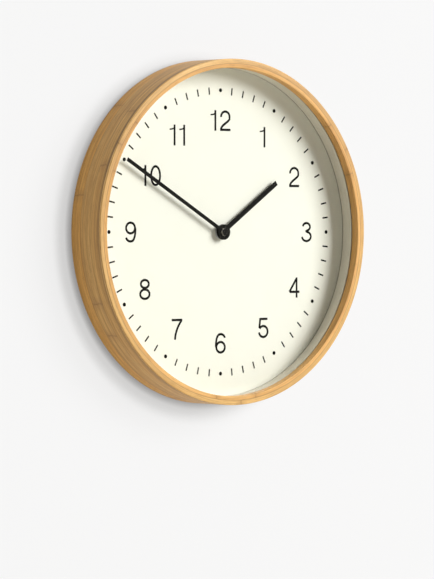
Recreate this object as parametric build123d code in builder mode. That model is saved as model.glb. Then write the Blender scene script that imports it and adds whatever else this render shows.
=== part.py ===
"""A round wall clock in a bamboo case, as it comes apart on a bench. Millimetres.

The origin lies on the axis of the hands, in the plane of the wall. +X is the viewer's right, +Z is up and the clock
faces -Y. Every depth below is a distance in front of the wall, so Plane.XZ.offset(depth) is the sketch plane there
and an extrusion grows towards the viewer.
"""

import os
from math import acos, cos, pi, radians, sin, tan

from build123d import *

# ---------------------------------------------------------------- driving dimensions
# case
CASE_RADIUS = 150.0
CASE_DEPTH = 40.0
LIP_WIDTH = 7.8  # how far the front lip covers, seen from the front
LIP_DEPTH = 7.5
CASE_WALL = 4.4
LIP_OUTER_ROUND = 0.9
LIP_INNER_ROUND = 0.4
REAR_EDGE_BREAK = 0.8
STACK_RADIUS = CASE_RADIUS - CASE_WALL  # the glass, dial, board and rings all fill the case

# stack inside the case, from the wall forwards
BOARD_BACK, BOARD_THICK = 2.0, 3.0
BOARD_FRONT = BOARD_BACK + BOARD_THICK
DIAL_BACK, DIAL_THICK = 17.4, 1.0
DIAL_FRONT = DIAL_BACK + DIAL_THICK
GLASS_THICK = 2.0
GLASS_FRONT = CASE_DEPTH - LIP_DEPTH
GLASS_BACK = GLASS_FRONT - GLASS_THICK
SPACER_INNER_RADIUS = 143.1
PACKING_INNER_RADIUS = 137.0

# hanger and board fixings
KEYHOLE_Z = 108.0
HANGER_WIDTH, HANGER_HEIGHT, HANGER_THICK = 22.0, 44.0, 1.2
HANGER_BACK = BOARD_BACK - HANGER_THICK
HANGER_SCREW_SPAN = 34.0
KEYHOLE_RADIUS, SLOT_WIDTH, SLOT_RISE = 4.5, 4.2, 9.0
BOARD_SCREWS, BOARD_SCREW_CIRCLE = 6, 141.2
POCKET_MARGIN = 1.8  # room for the wall screw's head in the board, round the keyhole

# movement housing
HOUSING_SIDE = 56.0
HOUSING_TOP = 25.0
HOUSING_BACK, HOUSING_FRONT = 1.0, 16.6
HOUSING_WALL, PANEL = 1.4, 1.2
FLOOR, LID_BACK = HOUSING_BACK + PANEL, HOUSING_FRONT - PANEL
HOUSING_Z = HOUSING_TOP - HOUSING_SIDE / 2
INNER_SIDE = HOUSING_SIDE - 2 * HOUSING_WALL
BAY_WALL_TOP, BAY_WALL_BOTTOM = -13.4, -14.6
BAY_FLOOR_Z = HOUSING_TOP - HOUSING_SIDE + HOUSING_WALL
BAY_Z = (BAY_WALL_BOTTOM + BAY_FLOOR_Z) / 2
BOARD_WINDOW = 60.0

# AA cell
CELL_RADIUS, CELL_LENGTH, SLEEVE = 7.1, 49.0, 0.2
NUB_RADIUS, NUB_LENGTH = 2.6, 1.2
CELL_DEPTH = HOUSING_BACK + CELL_RADIUS + 0.05
CELL_LEFT = -23.95

# gears: tooth counts, and modules that keep coaxial pairs at one distance
PRESSURE_ANGLE = radians(20)
BACKLASH = 0.1
WHEEL_ADDENDUM, WHEEL_DEDENDUM = 0.4, 1.15  # in modules
PINION_ADDENDUM, PINION_DEDENDUM = 0.9, 0.65
CANNON_TEETH, MINUTE_WHEEL_TEETH, MINUTE_PINION_TEETH, HOUR_TEETH, SET_TEETH = 12, 36, 10, 40, 12
CENTRE_TEETH, THIRD_PINION_TEETH, THIRD_TEETH, SECONDS_PINION_TEETH = 64, 8, 60, 8
SECONDS_TEETH, FIFTH_PINION_TEETH, FIFTH_TEETH, ROTOR_TEETH = 40, 8, 48, 8
CANNON_MODULE, CENTRE_MODULE, SECONDS_MODULE, ROTOR_MODULE = 0.4, 0.25, 0.25, 0.2
HOUR_MODULE = CANNON_MODULE * (CANNON_TEETH + MINUTE_WHEEL_TEETH) / (MINUTE_PINION_TEETH + HOUR_TEETH)
THIRD_MODULE = CENTRE_MODULE * (CENTRE_TEETH + THIRD_PINION_TEETH) / (THIRD_TEETH + SECONDS_PINION_TEETH)

# each wheel's layer, from its rear face forwards; every wheel is WHEEL_THICK thick
WHEEL_THICK = 0.8
FIFTH_LAYER, SECONDS_LAYER, THIRD_LAYER, CENTRE_LAYER = 3.2, 5.2, 7.0, 8.8
PLATE_BACK, PLATE_FRONT = 10.2, 11.0
MINUTE_LAYER, HOUR_LAYER = 11.8, 13.6

# arbors, tubes and running fits
RUNNING = 0.05  # radial clearance of a shaft in its hole
PIVOT_RADIUS, POST_RADIUS = 0.5, 1.2
CLUTCH_RADIUS = 1.25
MINUTE_TUBE_RADIUS, HOUR_TUBE_RADIUS = 1.6, 2.55
BUSH_RADIUS, BUSH_FLANGE_RADIUS, BUSH_FRONT = 4.0, 5.5, 20.6
KNOB_RADIUS, WELL_RADIUS = 4.8, 6.4
KNOB_BACK, KNOB_FRONT, WELL_FLOOR = 0.6, 3.4, 3.8
MAGNET_RADIUS, ROTOR_HOLE_RADIUS = 3.0, 3.3

# hands
SHOWN_HOUR_ANGLE, SHOWN_MINUTE_ANGLE = 55.0, 300.0  # ten to two, clockwise from twelve
HAND_THICK, HUB_RADIUS = 0.5, 6.75
HOUR_HAND_LENGTH, HOUR_HAND_WIDTH, HOUR_HAND_BACK = 75.5, 4.3, 21.3
MINUTE_HAND_LENGTH, MINUTE_HAND_WIDTH, MINUTE_HAND_BACK = 124.0, 3.2, 23.1
CAP_RADIUS, CAP_HEIGHT = 3.4, 1.7

AXIS = (0.0, 0.0)  # the axis of the hands, in the plane of the dial


# ---------------------------------------------------------------- shared shapes
def from_wall(depth):
    """The sketch plane at this depth in front of the wall."""
    return Plane.XZ.offset(depth)


def disc(centre, radius, low, high, mode=Mode.ADD):
    """Adds (or cuts) a cylinder between two depths."""
    with BuildSketch(from_wall(low)) as section:
        with Locations(centre):
            Circle(radius)
    extrude(section.sketch, amount=high - low, mode=mode)


def slab(centre, width, height, low, high, corner=0.0, mode=Mode.ADD):
    """Adds (or cuts) a rectangular block between two depths."""
    with BuildSketch(from_wall(low)) as section:
        with Locations(centre):
            if corner:
                RectangleRounded(width, height, corner)
            else:
                Rectangle(width, height)
    extrude(section.sketch, amount=high - low, mode=mode)


def ring(radius, bore, low, high):
    """Adds a ring about the axis of the hands between two depths."""
    with BuildSketch(from_wall(low)) as section:
        Circle(radius)
        Circle(bore, mode=Mode.SUBTRACT)
    extrude(section.sketch, amount=high - low)


def along(start, bearing, distance):
    """The point at this distance and bearing from start, in the plane of the dial."""
    return (start[0] + distance * cos(bearing), start[1] + distance * sin(bearing))


def involute(angle):
    """The involute of a pressure angle."""
    return tan(angle) - angle


def tooth_half_angle(teeth, module, radius):
    """Half the angle a tooth fills at this radius: involute outside the base circle, radial inside it."""
    pitch_radius = teeth * module / 2
    thickness = pi * module / 2 - BACKLASH / 2
    pressure = acos(min(1.0, pitch_radius * cos(PRESSURE_ANGLE) / radius))
    return thickness / 2 / pitch_radius + involute(PRESSURE_ANGLE) - involute(pressure)


def toothed(centre, teeth, module, phase, low, high, pinion=False):
    """Adds a toothed disc with one tooth centred on the bearing phase."""
    pitch_radius = teeth * module / 2
    addendum = PINION_ADDENDUM if pinion else WHEEL_ADDENDUM
    dedendum = PINION_DEDENDUM if pinion else WHEEL_DEDENDUM
    radii = [pitch_radius - dedendum * module, pitch_radius, pitch_radius + addendum * module]
    flank = [(radius, tooth_half_angle(teeth, module, radius)) for radius in radii]
    outline = []
    for tooth in range(teeth):
        middle = phase + 2 * pi * tooth / teeth
        outline += [along(AXIS, middle - half, radius) for radius, half in flank]
        outline += [along(AXIS, middle + half, radius) for radius, half in reversed(flank)]
    with BuildSketch(from_wall(low)) as section:
        with Locations(centre):
            Polygon(*outline, align=None)
    extrude(section.sketch, amount=high - low)


def centre_distance(teeth, mating_teeth, module):
    """The distance between the arbors of two meshing gears."""
    return module * (teeth + mating_teeth) / 2


def meshing_phase(phase, teeth, bearing, mating_teeth):
    """The phase of a mating gear, at this bearing, whose gaps take the teeth of a gear with the phase given."""
    offset = ((phase - bearing) * teeth / (2 * pi)) % 1
    return bearing + pi + (0.5 - offset) * 2 * pi / mating_teeth


def spoke_windows(centre, inner, outer, low, high, count=3, first=0.0):
    """Cuts round lightening holes through a wheel, half-way between its hub and its rim."""
    with BuildSketch(from_wall(low)) as section:
        for window in range(count):
            with Locations(along(centre, first + 2 * pi * window / count, (inner + outer) / 2)):
                Circle((outer - inner) / 2)
    extrude(section.sketch, amount=high - low, mode=Mode.SUBTRACT)


def countersunk(centre, head_back, length, radius, head_radius, forwards=1, mode=Mode.ADD):
    """Adds (or cuts) a countersunk screw's outline, driven forwards (1) or back (-1) from its head's face."""
    x, z = centre
    steps = [(0, 0), (0, head_radius), (head_radius - radius, radius)]
    steps += [(length - 1.5 * radius, radius), (length, 0)]
    with BuildSketch(Plane.YZ.offset(x)) as section:
        with BuildLine():
            Polyline(*[(-head_back - forwards * depth, z + out) for depth, out in steps], close=True)
        make_face()
    revolve(section.sketch, axis=Axis((x, 0, z), (0, 1, 0)), mode=mode)


def cross_recess(centre, head_back, radius, forwards=1):
    """Cuts a cross recess into a screw's head."""
    low = head_back if forwards == 1 else head_back - 0.6 * radius
    slab(centre, 2.4 * radius, 0.4 * radius, low, low + 0.6 * radius, mode=Mode.SUBTRACT)
    slab(centre, 0.4 * radius, 2.4 * radius, low, low + 0.6 * radius, mode=Mode.SUBTRACT)


def save(built, name):
    """Labels a finished piece and writes its STEP file."""
    built.part.label = name
    export_step(built.part, f"parts/{name}.step")


os.makedirs("parts", exist_ok=True)

# ---------------------------------------------------------------- where things stand
MINUTE_CENTRE = along(AXIS, radians(200), centre_distance(CANNON_TEETH, MINUTE_WHEEL_TEETH, CANNON_MODULE))
SET_CENTRE = along(MINUTE_CENTRE, pi, centre_distance(SET_TEETH, MINUTE_WHEEL_TEETH, CANNON_MODULE))
THIRD_CENTRE = along(AXIS, radians(-15), centre_distance(CENTRE_TEETH, THIRD_PINION_TEETH, CENTRE_MODULE))
FIFTH_CENTRE = along(AXIS, radians(60), centre_distance(SECONDS_TEETH, FIFTH_PINION_TEETH, SECONDS_MODULE))
ROTOR_CENTRE = along(FIFTH_CENTRE, radians(90), centre_distance(FIFTH_TEETH, ROTOR_TEETH, ROTOR_MODULE))
BOARD_SCREW_CENTRES = [
    along(AXIS, 2 * pi * (screw + 0.5) / BOARD_SCREWS, BOARD_SCREW_CIRCLE) for screw in range(BOARD_SCREWS)
]
HANGER_SCREW_CENTRES = [(0, KEYHOLE_Z + 3 + side * HANGER_SCREW_SPAN / 2) for side in (-1, 1)]
LID_SCREW_CENTRES = [(side * 24.4, z) for z in (21.4, -11.2) for side in (-1, 1)]
PLATE_POST_CENTRES = [(-20.0, 11.6), (20.0, 11.6), (-4.0, -9.8), (17.0, -9.6)]

# ---------------------------------------------------------------- case
# Bent hoop with a lip at the front, turned from its section about the axis of the hands.
with BuildPart() as case_ring:
    with BuildSketch(Plane.YZ):
        with BuildLine():
            Polyline(
                (0, STACK_RADIUS),
                (0, CASE_RADIUS),
                (-CASE_DEPTH, CASE_RADIUS),
                (-CASE_DEPTH, CASE_RADIUS - LIP_WIDTH),
                (-GLASS_FRONT, CASE_RADIUS - LIP_WIDTH),
                (-GLASS_FRONT, STACK_RADIUS),
                close=True,
            )
        make_face()
    revolve(axis=Axis.Y)
    fillet(faces().sort_by(Axis.Y)[0].edges().sort_by(SortBy.RADIUS)[-1], LIP_OUTER_ROUND)
    fillet(faces().sort_by(Axis.Y)[0].edges().sort_by(SortBy.RADIUS)[0], LIP_INNER_ROUND)
    chamfer(faces().sort_by(Axis.Y)[-1].edges().sort_by(SortBy.RADIUS)[-1], REAR_EDGE_BREAK)
save(case_ring, "case_ring")

# ---------------------------------------------------------------- the stack the case holds, front to back
with BuildPart() as glass_lens:
    disc(AXIS, STACK_RADIUS, GLASS_BACK, GLASS_FRONT)
save(glass_lens, "glass_lens")

with BuildPart() as spacer_ring:
    ring(STACK_RADIUS, SPACER_INNER_RADIUS, DIAL_FRONT, GLASS_BACK)
save(spacer_ring, "spacer_ring")

with BuildPart() as dial_plate:
    ring(STACK_RADIUS, BUSH_RADIUS, DIAL_BACK, DIAL_FRONT)
save(dial_plate, "dial_plate")

with BuildPart() as packing_ring:
    ring(STACK_RADIUS, PACKING_INNER_RADIUS, BOARD_FRONT, DIAL_BACK)
    for centre in BOARD_SCREW_CENTRES:
        countersunk(centre, BOARD_BACK, 12.0, 1.5, 2.9, mode=Mode.SUBTRACT)
save(packing_ring, "packing_ring")

# The board has a window for the movement and a pocket behind the hanger's keyhole.
with BuildPart() as back_board:
    disc(AXIS, STACK_RADIUS, BOARD_BACK, BOARD_FRONT)
    slab((0, HOUSING_Z), BOARD_WINDOW, BOARD_WINDOW, BOARD_BACK, BOARD_FRONT, 3.0, Mode.SUBTRACT)
    with BuildSketch(from_wall(BOARD_BACK)):
        with Locations((0, KEYHOLE_Z + SLOT_RISE / 2)):
            SlotCenterToCenter(SLOT_RISE, 2 * (KEYHOLE_RADIUS + POCKET_MARGIN), rotation=90)
    extrude(amount=BOARD_THICK, mode=Mode.SUBTRACT)
    for centre in BOARD_SCREW_CENTRES:
        countersunk(centre, BOARD_BACK, 12.0, 1.5, 2.9, mode=Mode.SUBTRACT)
    for centre in HANGER_SCREW_CENTRES:
        countersunk(centre, HANGER_BACK, 3.8, 1.1, 2.1, mode=Mode.SUBTRACT)
save(back_board, "back_board")

with BuildPart() as board_screws:
    for centre in BOARD_SCREW_CENTRES:
        countersunk(centre, BOARD_BACK, 12.0, 1.5, 2.9)
        cross_recess(centre, BOARD_BACK, 1.5)
save(board_screws, "board_screws")

# Pressed plate: the wall screw's head goes in at the round hole and the clock drops until its shank is in the slot.
with BuildPart() as hanger_plate:
    slab((0, KEYHOLE_Z + 3), HANGER_WIDTH, HANGER_HEIGHT, HANGER_BACK, BOARD_BACK, 4.0)
    disc((0, KEYHOLE_Z), KEYHOLE_RADIUS, HANGER_BACK, BOARD_BACK, Mode.SUBTRACT)
    slab((0, KEYHOLE_Z + SLOT_RISE / 2), SLOT_WIDTH, SLOT_RISE, HANGER_BACK, BOARD_BACK, mode=Mode.SUBTRACT)
    disc((0, KEYHOLE_Z + SLOT_RISE), SLOT_WIDTH / 2, HANGER_BACK, BOARD_BACK, Mode.SUBTRACT)
    for centre in HANGER_SCREW_CENTRES:
        countersunk(centre, HANGER_BACK, 3.8, 1.1, 2.1, mode=Mode.SUBTRACT)
save(hanger_plate, "hanger_plate")

with BuildPart() as hanger_screws:
    for centre in HANGER_SCREW_CENTRES:
        countersunk(centre, HANGER_BACK, 3.8, 1.1, 2.1)
        cross_recess(centre, HANGER_BACK, 1.1)
save(hanger_screws, "hanger_screws")

# ---------------------------------------------------------------- movement housing
# Moulded box, open at the front for the works and at the rear for the cell, with a well for the setting knob.
with BuildPart() as movement_housing:
    slab((0, HOUSING_Z), HOUSING_SIDE, HOUSING_SIDE, HOUSING_BACK, LID_BACK, 2.5)
    slab(
        (0, (HOUSING_TOP - HOUSING_WALL + BAY_WALL_TOP) / 2),
        INNER_SIDE,
        HOUSING_TOP - HOUSING_WALL - BAY_WALL_TOP,
        FLOOR,
        LID_BACK,
        mode=Mode.SUBTRACT,
    )
    slab((0, BAY_Z), INNER_SIDE, BAY_WALL_BOTTOM - BAY_FLOOR_Z, HOUSING_BACK, LID_BACK, mode=Mode.SUBTRACT)
    disc(SET_CENTRE, WELL_RADIUS + PANEL, HOUSING_BACK, WELL_FLOOR + PANEL)
    disc(SET_CENTRE, WELL_RADIUS, HOUSING_BACK, WELL_FLOOR, Mode.SUBTRACT)
    disc(SET_CENTRE, POST_RADIUS + RUNNING, WELL_FLOOR, WELL_FLOOR + PANEL, Mode.SUBTRACT)
    for centre in PLATE_POST_CENTRES:
        disc(centre, POST_RADIUS, FLOOR, PLATE_BACK)
    for centre in LID_SCREW_CENTRES:
        disc(centre, 2.4, 6.0, LID_BACK)
        countersunk(centre, HOUSING_FRONT, 7.0, 0.9, 1.7, forwards=-1, mode=Mode.SUBTRACT)
    for centre in (AXIS, THIRD_CENTRE, ROTOR_CENTRE):
        disc(centre, 1.3, FLOOR, FLOOR + 0.5)
        disc(centre, PIVOT_RADIUS + RUNNING, 1.7, FLOOR + 0.5, Mode.SUBTRACT)
    disc(FIFTH_CENTRE, 1.0, FLOOR, FLOOR + 0.6)
    disc(FIFTH_CENTRE, PIVOT_RADIUS, FLOOR, SECONDS_LAYER + WHEEL_THICK + 0.6)
    for side in (-1, 1):
        slab((side * 25.95, BAY_WALL_TOP - 0.6), 1.3, 1.2, 3.4, 4.9, mode=Mode.SUBTRACT)
    for centre in ((-12.0, 19.0), (12.0, 19.0), (-12.5, 9.5), (12.5, 9.5)):
        disc(centre, 1.0, FLOOR, 5.9)
    for centre in ((22.0, 7.0), (22.0, -6.0)):
        disc(centre, 1.2, FLOOR, 3.4)
save(movement_housing, "movement_housing")

with BuildPart() as movement_lid:
    slab((0, HOUSING_Z), HOUSING_SIDE, HOUSING_SIDE, LID_BACK, HOUSING_FRONT, 2.5)
    disc(AXIS, BUSH_RADIUS, LID_BACK, HOUSING_FRONT, Mode.SUBTRACT)
    for centre in (MINUTE_CENTRE, SET_CENTRE):
        disc(centre, PIVOT_RADIUS + RUNNING, LID_BACK, LID_BACK + 0.8, Mode.SUBTRACT)
    for centre in LID_SCREW_CENTRES:
        countersunk(centre, HOUSING_FRONT, 7.0, 0.9, 1.7, forwards=-1, mode=Mode.SUBTRACT)
save(movement_lid, "movement_lid")

with BuildPart() as lid_screws:
    for centre in LID_SCREW_CENTRES:
        countersunk(centre, HOUSING_FRONT, 7.0, 0.9, 1.7, forwards=-1)
        cross_recess(centre, HOUSING_FRONT, 0.9, forwards=-1)
save(lid_screws, "lid_screws")

# Carries the front pivots of the train and the rear pivot of the minute wheel.
with BuildPart() as train_plate:
    slab((0, 1.2), 43.6, 24.4, PLATE_BACK, PLATE_FRONT, 2.0)
    disc(AXIS, MINUTE_TUBE_RADIUS + RUNNING, PLATE_BACK, PLATE_FRONT, Mode.SUBTRACT)
    disc(SET_CENTRE, POST_RADIUS + RUNNING, PLATE_BACK, PLATE_FRONT, Mode.SUBTRACT)
    for centre in (THIRD_CENTRE, ROTOR_CENTRE, MINUTE_CENTRE):
        disc(centre, PIVOT_RADIUS + RUNNING, PLATE_BACK, PLATE_FRONT, Mode.SUBTRACT)
save(train_plate, "train_plate")

# ---------------------------------------------------------------- bush and what clamps the movement to the dial
with BuildPart() as threaded_bush:
    disc(AXIS, BUSH_FLANGE_RADIUS, LID_BACK - 0.6, LID_BACK)
    disc(AXIS, BUSH_RADIUS, LID_BACK, BUSH_FRONT)
    disc(AXIS, HOUR_TUBE_RADIUS + RUNNING, LID_BACK - 0.6, BUSH_FRONT, Mode.SUBTRACT)
save(threaded_bush, "threaded_bush")

with BuildPart() as cushion_washer:
    ring(11.0, BUSH_RADIUS, HOUSING_FRONT, DIAL_BACK)
save(cushion_washer, "cushion_washer")

with BuildPart() as dial_washer:
    ring(6.0, BUSH_RADIUS, DIAL_FRONT, DIAL_FRONT + 0.4)
save(dial_washer, "dial_washer")

with BuildPart() as hex_nut:
    with BuildSketch(from_wall(DIAL_FRONT + 0.4)):
        RegularPolygon(5.8, 6)
        Circle(BUSH_RADIUS, mode=Mode.SUBTRACT)
    extrude(amount=1.6)
save(hex_nut, "hex_nut")

# ---------------------------------------------------------------- electrical parts
# L-shaped board: an upright on the viewer's right and a strip along the foot of the works.
with BuildPart() as circuit_board:
    slab((22.7, -2.4), 7.2, 21.6, 3.4, 4.4)
    slab((0, -12.3), 52.6, 1.8, 3.4, 4.4)
save(circuit_board, "circuit_board")

with BuildPart() as circuit_chip:
    disc((22.6, -3.0), 2.6, 4.4, 5.3)
    fillet(faces().sort_by(Axis.Y)[0].edges(), 0.7)
save(circuit_chip, "circuit_chip")

with BuildPart() as quartz_crystal:
    with BuildSketch(Plane.XY.offset(0.5)):
        with Locations((22.6, -5.4)):
            Circle(1.0)
    extrude(amount=6.0)
    fillet(faces().sort_by(Axis.Z)[-1].edges(), 0.4)
save(quartz_crystal, "quartz_crystal")

# Flat iron yoke round the rotor, its two legs joined by the core that runs through the coil.
with BuildPart() as stator:
    slab((0, 10.8), 29.0, 5.0, 5.9, 6.7, 1.0)
    disc(ROTOR_CENTRE, ROTOR_HOLE_RADIUS + 0.9, 5.9, 6.7)
    disc(ROTOR_CENTRE, ROTOR_HOLE_RADIUS, 5.9, 6.7, Mode.SUBTRACT)
    for side in (-1, 1):
        slab((side * 12.5, 15.0), 4.0, 12.4, 5.9, 6.7, 1.0)
save(stator, "stator")

with BuildPart() as coil_core:
    slab((0, 19.0), 29.0, 4.0, 6.7, 7.5, 1.0)
save(coil_core, "coil_core")

with BuildPart() as coil_bobbin:
    for side in (-1, 1):
        slab((side * 9.6, 19.0), 0.8, 8.4, 2.9, 11.3, mode=Mode.ADD)
    slab((0, 19.0), 18.4, 5.2, 6.0, 8.2)
    slab((0, 19.0), 20.0, 4.0, 6.7, 7.5, mode=Mode.SUBTRACT)
save(coil_bobbin, "coil_bobbin")

with BuildPart() as coil_winding:
    with BuildSketch(Plane.YZ.offset(-9.2)):
        with Locations((-7.1, 19.0)):
            RectangleRounded(7.0, 7.6, 2.2)
            Rectangle(2.2, 5.2, mode=Mode.SUBTRACT)
    extrude(amount=18.4)
save(coil_winding, "coil_winding")

# Sprung strips at the two ends of the bay, each with a tab through the bay's wall on to the board.
with BuildPart() as contact_positive:
    slab((26.45, BAY_Z), 0.3, 11.0, 3.0, 13.4)
    slab((26.45, -14.4), 0.3, 6.0, 3.6, 4.7)
save(contact_positive, "contact_positive")

with BuildPart() as contact_negative:
    slab((-26.45, BAY_Z), 0.3, 11.0, 3.0, 13.4)
    slab((-26.45, -14.4), 0.3, 6.0, 3.6, 4.7)
    with BuildLine() as coil_path:
        Helix(pitch=0.75, height=1.75, radius=3.6, center=(-26.05, -CELL_DEPTH, BAY_Z), direction=(1, 0, 0))
    with BuildSketch(Plane(origin=coil_path.line @ 0, z_dir=coil_path.line % 0)):
        Circle(0.27)
    sweep(path=coil_path.line, is_frenet=True)
save(contact_negative, "contact_negative")

# ---------------------------------------------------------------- hands and motion work
CENTRE_PHASE = 0.0
CANNON_PHASE = 0.0
MINUTE_PHASE = meshing_phase(CANNON_PHASE, CANNON_TEETH, radians(200), MINUTE_WHEEL_TEETH)
HOUR_PHASE = meshing_phase(0.0, MINUTE_PINION_TEETH, radians(20), HOUR_TEETH)
SET_PHASE = meshing_phase(MINUTE_PHASE, MINUTE_WHEEL_TEETH, pi, SET_TEETH)

# One moulding: the clutch seat for the centre wheel, the cannon pinion and the tube that carries the minute hand.
with BuildPart() as minute_arbor:
    disc(AXIS, CLUTCH_RADIUS, CENTRE_LAYER - 0.2, CENTRE_LAYER + WHEEL_THICK + 0.1)
    disc(AXIS, MINUTE_TUBE_RADIUS, CENTRE_LAYER + WHEEL_THICK + 0.1, 24.4)
    toothed(AXIS, CANNON_TEETH, CANNON_MODULE, CANNON_PHASE, MINUTE_LAYER - 0.3, MINUTE_LAYER + 1.1, True)
    disc(AXIS, PIVOT_RADIUS + 0.1, CENTRE_LAYER - 0.2, 21.0, Mode.SUBTRACT)
save(minute_arbor, "minute_arbor")

with BuildPart() as minute_hand:
    disc(AXIS, HUB_RADIUS, MINUTE_HAND_BACK, MINUTE_HAND_BACK + HAND_THICK)
    with BuildSketch(from_wall(MINUTE_HAND_BACK)):
        Rectangle(
            MINUTE_HAND_LENGTH,
            MINUTE_HAND_WIDTH,
            rotation=90 - SHOWN_MINUTE_ANGLE,
            align=(Align.MIN, Align.CENTER),
        )
    extrude(amount=HAND_THICK)
    disc(AXIS, MINUTE_TUBE_RADIUS, MINUTE_HAND_BACK, MINUTE_HAND_BACK + HAND_THICK, Mode.SUBTRACT)
save(minute_hand, "minute_hand")

with BuildPart() as cap_nut:
    disc(AXIS, CAP_RADIUS, MINUTE_HAND_BACK + HAND_THICK, MINUTE_HAND_BACK + HAND_THICK + CAP_HEIGHT)
    fillet(faces().sort_by(Axis.Y)[0].edges(), 0.8)
    disc(AXIS, MINUTE_TUBE_RADIUS, MINUTE_HAND_BACK + HAND_THICK, 24.4, Mode.SUBTRACT)
    disc(AXIS, 1.4, MINUTE_HAND_BACK + HAND_THICK + CAP_HEIGHT - 0.4, 26.0, Mode.SUBTRACT)
save(cap_nut, "cap_nut")

with BuildPart() as hour_wheel:
    toothed(AXIS, HOUR_TEETH, HOUR_MODULE, HOUR_PHASE, HOUR_LAYER, HOUR_LAYER + WHEEL_THICK)
    disc(AXIS, HOUR_TUBE_RADIUS, HOUR_LAYER, HOUR_HAND_BACK + 1.4)
    spoke_windows(AXIS, 3.2, 6.2, HOUR_LAYER, HOUR_LAYER + WHEEL_THICK, 4, pi / 4)
    disc(AXIS, MINUTE_TUBE_RADIUS + RUNNING, HOUR_LAYER, HOUR_HAND_BACK + 1.4, Mode.SUBTRACT)
save(hour_wheel, "hour_wheel")

# The hub is folded up from the blade into a shallow cup, so it is thicker than the blade.
with BuildPart() as hour_hand:
    disc(AXIS, HUB_RADIUS, HOUR_HAND_BACK, HOUR_HAND_BACK + 1.4)
    with BuildSketch(from_wall(HOUR_HAND_BACK)):
        Rectangle(
            HOUR_HAND_LENGTH,
            HOUR_HAND_WIDTH,
            rotation=90 - SHOWN_HOUR_ANGLE,
            align=(Align.MIN, Align.CENTER),
        )
    extrude(amount=HAND_THICK)
    disc(AXIS, HOUR_TUBE_RADIUS, HOUR_HAND_BACK, HOUR_HAND_BACK + 1.4, Mode.SUBTRACT)
save(hour_hand, "hour_hand")

with BuildPart() as minute_wheel:
    toothed(
        MINUTE_CENTRE,
        MINUTE_WHEEL_TEETH,
        CANNON_MODULE,
        MINUTE_PHASE,
        MINUTE_LAYER,
        MINUTE_LAYER + WHEEL_THICK,
    )
    spoke_windows(MINUTE_CENTRE, 2.7, 6.2, MINUTE_LAYER, MINUTE_LAYER + WHEEL_THICK, 4)
    toothed(MINUTE_CENTRE, MINUTE_PINION_TEETH, HOUR_MODULE, 0.0, MINUTE_LAYER, HOUR_LAYER + 1.1, True)
    disc(MINUTE_CENTRE, PIVOT_RADIUS, PLATE_BACK + 0.1, LID_BACK + 0.7)
save(minute_wheel, "minute_wheel")

# Ribbed knob in the well at the rear, on a stem that reaches through to its own pinion.
with BuildPart() as set_knob:
    disc(SET_CENTRE, KNOB_RADIUS - 0.4, KNOB_BACK, KNOB_FRONT)
    with BuildSketch(from_wall(KNOB_BACK + 0.3)):
        with Locations(SET_CENTRE):
            with PolarLocations(KNOB_RADIUS - 0.4, 24):
                Circle(0.4)
    extrude(amount=KNOB_FRONT - KNOB_BACK - 0.6)
    disc(SET_CENTRE, POST_RADIUS, KNOB_FRONT, MINUTE_LAYER)
    disc(SET_CENTRE, PIVOT_RADIUS, MINUTE_LAYER, LID_BACK + 0.7)
    toothed(SET_CENTRE, SET_TEETH, CANNON_MODULE, SET_PHASE, MINUTE_LAYER - 0.3, MINUTE_LAYER + 1.1, True)
save(set_knob, "set_knob")

# ---------------------------------------------------------------- going train
THIRD_PINION_PHASE = meshing_phase(CENTRE_PHASE, CENTRE_TEETH, radians(-15), THIRD_PINION_TEETH)
SECONDS_PINION_PHASE = meshing_phase(0.0, THIRD_TEETH, radians(165), SECONDS_PINION_TEETH)
FIFTH_PINION_PHASE = meshing_phase(0.0, SECONDS_TEETH, radians(60), FIFTH_PINION_TEETH)
ROTOR_PHASE = meshing_phase(0.0, FIFTH_TEETH, radians(90), ROTOR_TEETH)

# Rides on the minute arbor as a friction clutch, so the hands can be set without turning the train.
with BuildPart() as centre_wheel:
    toothed(AXIS, CENTRE_TEETH, CENTRE_MODULE, CENTRE_PHASE, CENTRE_LAYER, CENTRE_LAYER + WHEEL_THICK)
    spoke_windows(AXIS, 2.2, 6.4, CENTRE_LAYER, CENTRE_LAYER + WHEEL_THICK)
    disc(AXIS, CLUTCH_RADIUS + RUNNING, CENTRE_LAYER, CENTRE_LAYER + WHEEL_THICK, Mode.SUBTRACT)
save(centre_wheel, "centre_wheel")

with BuildPart() as third_wheel:
    toothed(THIRD_CENTRE, THIRD_TEETH, THIRD_MODULE, 0.0, THIRD_LAYER, THIRD_LAYER + WHEEL_THICK)
    spoke_windows(THIRD_CENTRE, 2.0, 6.4, THIRD_LAYER, THIRD_LAYER + WHEEL_THICK)
    toothed(
        THIRD_CENTRE,
        THIRD_PINION_TEETH,
        CENTRE_MODULE,
        THIRD_PINION_PHASE,
        THIRD_LAYER + WHEEL_THICK,
        CENTRE_LAYER + 1.0,
        True,
    )
    disc(THIRD_CENTRE, PIVOT_RADIUS, FLOOR - 0.4, PLATE_FRONT - 0.1)
save(third_wheel, "third_wheel")

with BuildPart() as seconds_wheel:
    toothed(AXIS, SECONDS_TEETH, SECONDS_MODULE, 0.0, SECONDS_LAYER, SECONDS_LAYER + WHEEL_THICK)
    toothed(
        AXIS,
        SECONDS_PINION_TEETH,
        THIRD_MODULE,
        SECONDS_PINION_PHASE,
        SECONDS_LAYER + WHEEL_THICK,
        THIRD_LAYER + 1.0,
        True,
    )
    disc(AXIS, PIVOT_RADIUS, FLOOR - 0.4, 20.8)
save(seconds_wheel, "seconds_wheel")

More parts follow.
